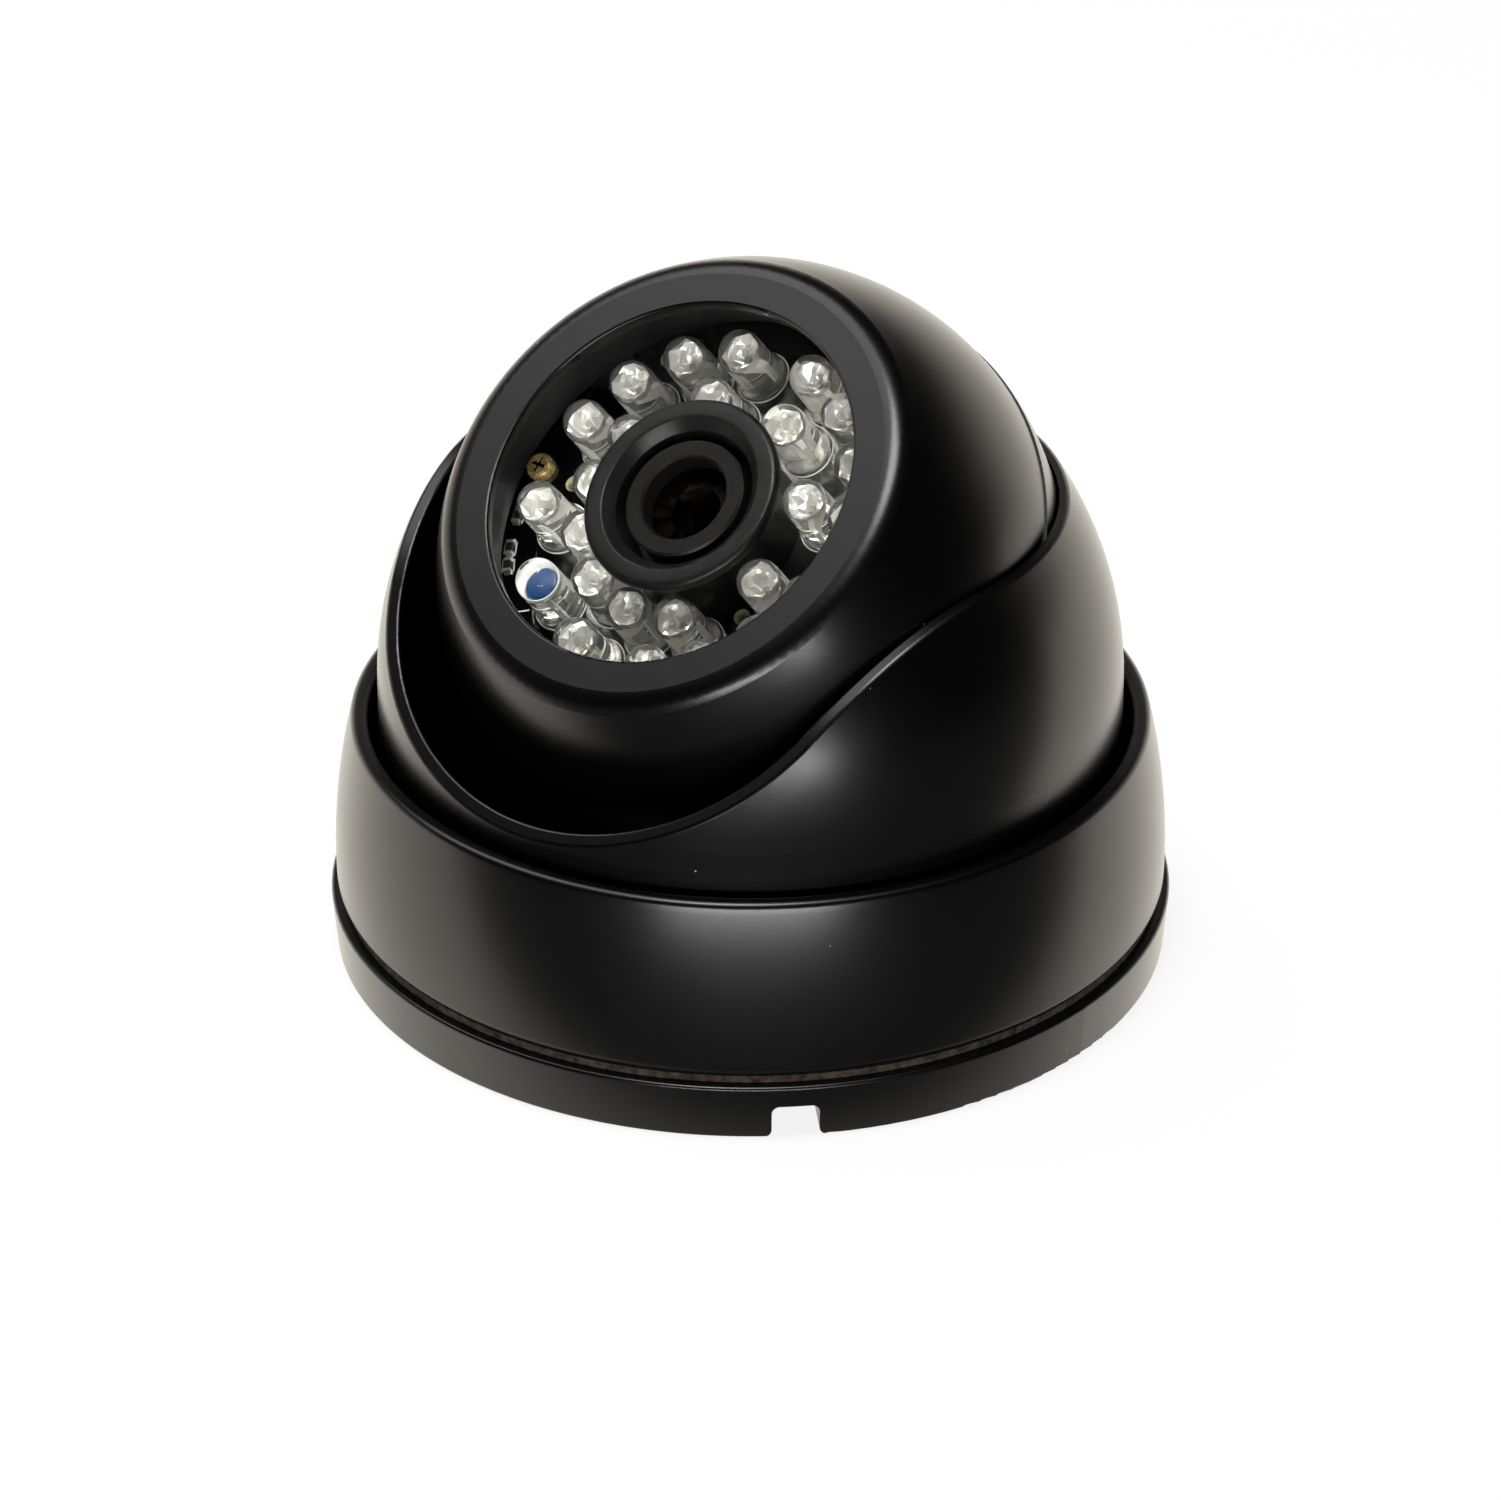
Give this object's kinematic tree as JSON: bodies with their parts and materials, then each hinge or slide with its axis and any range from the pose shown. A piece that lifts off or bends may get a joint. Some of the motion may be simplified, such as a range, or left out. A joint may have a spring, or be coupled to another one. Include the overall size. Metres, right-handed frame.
{
  "type": "security camera",
  "caption": "Round turret security camera: base with ring cover, panning dome shroud and a tilting eyeball with a glass window, lens and infrared lamps.",
  "frame": {"origin": "centre of the base's mounting face", "axes": "+Z is the pan axis, away from the mounting face; the eyeball looks towards -Y at rest"},
  "size_m": [0.094, 0.094, 0.0783],
  "materials": {
    "black_coat": "satin black powder coat on die-cast aluminium",
    "black_steel": "black oxide on sheet steel",
    "screw_steel": "plain zinc-plated steel",
    "black_screw": "blackened steel",
    "brass": "turned brass",
    "black_rubber": "moulded rubber",
    "foam": "open-cell foam strip",
    "nylon": "natural nylon",
    "window_glass": "clear flat glass",
    "clear_epoxy": "water-clear cast epoxy",
    "black_board": "black solder mask on glass-fibre board",
    "green_board": "green solder mask on glass-fibre board",
    "tinned_lead": "tinned lead wire",
    "chip_black": "moulded chip body",
    "shade_black": "fine-textured moulded plastic",
    "lens_black": "black anodised aluminium",
    "lens_glass": "coated optical glass",
    "holder_black": "moulded plastic",
    "filter_glass": "coated filter glass",
    "sensor_ceramic": "dark ceramic chip package",
    "plain_aluminium": "mill-finish sheet",
    "connector_white": "moulded nylon",
    "wire_cover": "coloured wire insulation"
  },
  "bodies": {
    "base": {"base_plate": "black_coat", "base_seal": "foam", "ring_cover": "black_coat", "cover_lock_screw": "black_screw", "lower_glide_ring": "nylon", "upper_friction_ring": "black_rubber", "cable_grommet": "black_rubber"},
    "shroud": {"dome_shroud": "black_coat", "yoke_bracket": "black_steel", "yoke_screws": "black_screw", "tilt_washers": "nylon", "tilt_springs": "black_screw"},
    "eyeball": {"pivot_screws": "black_screw", "front_shell": "black_coat", "rear_shell": "black_coat", "shell_seal": "black_rubber", "shell_screws": "black_screw", "cable_gland": "black_rubber", "window_glass": "window_glass", "window_seal": "black_rubber", "window_retainer": "holder_black", "ir_leds": "clear_epoxy", "light_sensor": "clear_epoxy", "led_leads": "tinned_lead", "led_board": "black_board", "board_screws": "brass", "board_standoffs": "brass", "smd_parts": "chip_black", "lens_shade": "shade_black", "lens_barrel": "lens_black", "lens_front_ring": "lens_black", "lens_front_element": "lens_glass", "lens_rear_element": "lens_glass", "lens_lock_ring": "lens_black", "lens_holder": "holder_black", "lens_holder_screws": "screw_steel", "ir_cut_filter": "filter_glass", "image_sensor": "sensor_ceramic", "sensor_board": "green_board", "sensor_standoffs": "brass", "sensor_board_screws": "screw_steel", "board_chips": "chip_black", "board_connectors": "connector_white", "board_lead": "wire_cover", "chassis_plate": "plain_aluminium", "chassis_screws": "screw_steel"}
  },
  "joints": [
    {"name": "pan", "type": "hinge", "parent": "base", "child": "shroud", "pos_m": [0, 0, 0.0135], "axis": [0, 0, 1], "range_deg": [-170, 170]},
    {"name": "tilt", "type": "hinge", "parent": "shroud", "child": "eyeball", "pos_m": [0, 0, 0.0445], "axis": [1, 0, 0], "range_deg": [-40, 35]}
  ]
}
